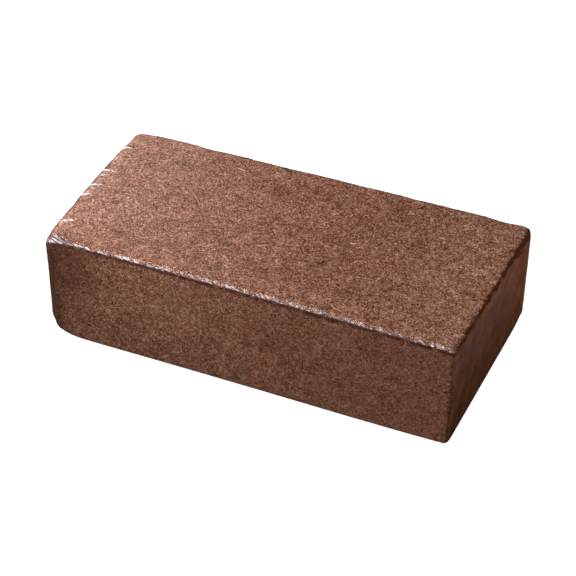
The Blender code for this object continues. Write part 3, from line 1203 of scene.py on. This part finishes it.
def bits_material(name, tones, roughness):
    """For crumbs or fibres: each has its own tone, with a little grain on it."""
    made, tree = new_material(name)
    place = node(tree, "ShaderNodeTexCoord").outputs["Object"]
    grain = around_nought(tree, noise_at(tree, place, 0.4), 0.25)
    tone = maths(tree, "ADD", kept_value(tree, "tone"), grain)
    shader = principled(tree, toned(tree, tone, tones), roughness, {"Specular IOR Level": 0.1})
    node(tree, "ShaderNodeOutputMaterial", {"Surface": shader})
    return made


# The film's mirror, its white creases with painted highlights, and its streaks of haze with painted
# sheen
FILM_TINT = (1.0, 0.88, 0.86, 1.0)
FILM_IOR = 1.5
FILM_GAIN = 1.3
CREASE_AND_HIGHLIGHT_FILM = (0.77, 0.67, 0.73, 1.0)
BRIGHTEST_CREASE_HIGHLIGHT = (0.93, 0.86, 0.84, 1.0)
CREASE_AND_HIGHLIGHT_SHARE = 0.75
HAZE_AND_SHEEN_GAIN = 0.05
STREAK_SLANT = math.radians(38)
STREAK_STRETCH = 3.5


def film_material():
    """Clear film that mirrors more the flatter it is seen, and is white at its creases, partly their
    own white and partly painted highlights, with hazy streaks of painted sheen.
    """
    made, tree = new_material("film")
    place = node(tree, "ShaderNodeTexCoord").outputs["Object"]
    white = kept_value(tree, "white")
    ripple = noise_at(tree, place, 1.1, 0.6)
    bump = node(tree, "ShaderNodeBump", {"Strength": 0.6, "Distance": 0.10 * MM, "Height": ripple})
    fresnel = node(tree, "ShaderNodeFresnel", {"IOR": FILM_IOR}).outputs[0]
    behind = node(tree, "ShaderNodeNewGeometry").outputs["Backfacing"]
    in_front = maths(tree, "SUBTRACT", 1.0, behind)
    share = maths(tree, "MULTIPLY", fresnel, FILM_GAIN, clamped=True)
    shiny = maths(tree, "SUBTRACT", 1.0, kept_value(tree, "dull"))
    share = maths(tree, "MULTIPLY", share, maths(tree, "MULTIPLY", in_front, shiny))
    clear = node(tree, "ShaderNodeBsdfTransparent").outputs[0]
    glossy = {"Color": FILM_TINT, "Roughness": 0.12, "Normal": bump.outputs[0]}
    mirror = node(tree, "ShaderNodeBsdfGlossy", glossy)
    film = node(tree, "ShaderNodeMixShader", {0: share, 1: clear, 2: mirror.outputs[0]}).outputs[0]
    # The white of the creases with painted highlights, and the haze with painted sheen in streaks
    crease_and_highlight_colour = mixed(tree, mapped(tree, white, 0.6, 1.0), CREASE_AND_HIGHLIGHT_FILM, BRIGHTEST_CREASE_HIGHLIGHT)
    crease_and_highlight = principled(tree, crease_and_highlight_colour, 0.35)
    streaked = node(
        tree,
        "ShaderNodeMapping",
        {"Vector": place, "Rotation": (STREAK_SLANT, 0.0, 0.0), "Scale": (1.0, STREAK_STRETCH, 1.0)},
        vector_type="TEXTURE",
    ).outputs[0]
    streaks = mapped(tree, noise_at(tree, streaked, 2.6, 0.6), 0.42, 0.72, 0.5, 2.4)
    streaky = maths(tree, "MULTIPLY", kept_value(tree, "haze_and_sheen"), streaks)
    haze_and_sheen = maths(tree, "MULTIPLY", streaky, HAZE_AND_SHEEN_GAIN)
    white_and_highlight_share = maths(tree, "ADD", maths(tree, "MULTIPLY", white, CREASE_AND_HIGHLIGHT_SHARE), haze_and_sheen, clamped=True)
    white_and_highlight_share = maths(tree, "MULTIPLY", white_and_highlight_share, in_front)
    shader = node(tree, "ShaderNodeMixShader", {0: white_and_highlight_share, 1: film, 2: crease_and_highlight})
    node(tree, "ShaderNodeOutputMaterial", {"Surface": shader.outputs[0]})
    return made


FLOOR_COLOUR = (0.85, 0.85, 0.85, 1.0)
FLOOR_GLOW = 0.80


def floor():
    """A white glowing floor that neither lights the block nor is mirrored in it."""
    bpy.ops.mesh.primitive_plane_add(size=8.0, location=(0, 0, -0.2 * MM))
    made = bpy.context.object
    made.name = "floor"
    pale, tree = new_material("floor")
    glowing = principled(tree, FLOOR_COLOUR, 0.9, {"Emission Strength": FLOOR_GLOW})
    node(tree, "ShaderNodeOutputMaterial", {"Surface": glowing})
    made.data.materials.append(pale)
    made.visible_diffuse = False
    made.visible_glossy = False
    made.visible_shadow = False


# Each light's place, side and radiance, and whether film mirrors it or coir is lit by it
LIGHTS = {
    "key": (Vector((-0.255, -0.05, 0.29)), 0.25, 14.4, False),
    "front_fill": (Vector((0.04, -0.40, 0.14)), 0.2, 7.9, False),
    "end_fill": (Vector((0.28, 0.12, 0.16)), 0.12, 9.1, False),
    "shine": (Vector((-0.23, -0.05, 0.40)), 0.40, 6.0, True),
    "veil": (Vector((-0.56, 0.74, 0.62)), 0.35, 0.25, True),
}

# How bright the sky and the ground are
SKY = 0.08
GROUND = 0.008


def softbox(name, place, size, radiance, in_film):
    """A square light that faces the block. Film mirrors it or coir is lit by it, but not both."""
    light = bpy.data.lights.new(name, "AREA")
    light.shape = "SQUARE"
    light.size = size
    light.energy = radiance * math.pi * size * size
    made = bpy.data.objects.new(name, light)
    made.location = place
    made.rotation_euler = (-place).to_track_quat("-Z", "Y").to_euler()
    made.visible_glossy = in_film
    made.visible_diffuse = not in_film
    bpy.context.scene.collection.objects.link(made)


def sky():
    """A dim even sky over dark ground."""
    world = bpy.data.worlds.new("studio")
    world.use_nodes = True
    tree = world.node_tree
    tree.nodes.clear()
    way = node(tree, "ShaderNodeTexCoord").outputs["Generated"]
    up = node(tree, "ShaderNodeSeparateXYZ", {0: way}).outputs[2]
    strength = mapped(tree, up, -0.1, 0.2, GROUND, SKY)
    shader = node(tree, "ShaderNodeBackground", {"Color": (1.0, 1.0, 1.0, 1.0), "Strength": strength})
    node(tree, "ShaderNodeOutputWorld", {"Surface": shader.outputs[0]})
    bpy.context.scene.world = world


def lights():
    """The studio's lights and sky, and plain colours in the picture."""
    for name, light in LIGHTS.items():
        softbox(name, *light)
    sky()
    bpy.context.scene.view_settings.view_transform = "Standard"


def camera():
    """The photo's camera."""
    lens = bpy.data.cameras.new("camera")
    lens.lens = FOCAL_LENGTH_MM
    lens.sensor_width = SENSOR_WIDTH_MM
    made = bpy.data.objects.new("camera", lens)
    flat = math.cos(CAMERA_ELEVATION)
    back = Vector((
        math.sin(CAMERA_AZIMUTH) * flat,
        -math.cos(CAMERA_AZIMUTH) * flat,
        math.sin(CAMERA_ELEVATION),
    ))
    right = Vector((math.cos(CAMERA_AZIMUTH), math.sin(CAMERA_AZIMUTH), 0.0))
    up = back.cross(right)
    made.matrix_world = Matrix((right, up, back)).transposed().to_4x4()
    target = BACK_TO_MIDDLE + right * CAMERA_ASIDE + up * CAMERA_RAISED
    made.location = target + back * CAMERA_DISTANCE
    bpy.context.scene.collection.objects.link(made)
    bpy.context.scene.camera = made


def main():
    """Makes the camera, the block's pieces, the floor and the lights."""
    camera()
    coir_block(coir_material())
    grains = bits_material("grains", COIR_TONES, 0.9)
    loose_grains("coir_crumbs", grains, CRUMBS, OCTAHEDRON, CRUMB_SIZES, SEED)
    loose_grains("coir_grains", grains, GRAINS, TETRAHEDRON, GRAIN_SIZES, SEED + 2)
    fibres(bits_material("fibres", FIBRE_TONES, 0.6))
    film_wrap(film_material())
    floor()
    lights()


main()
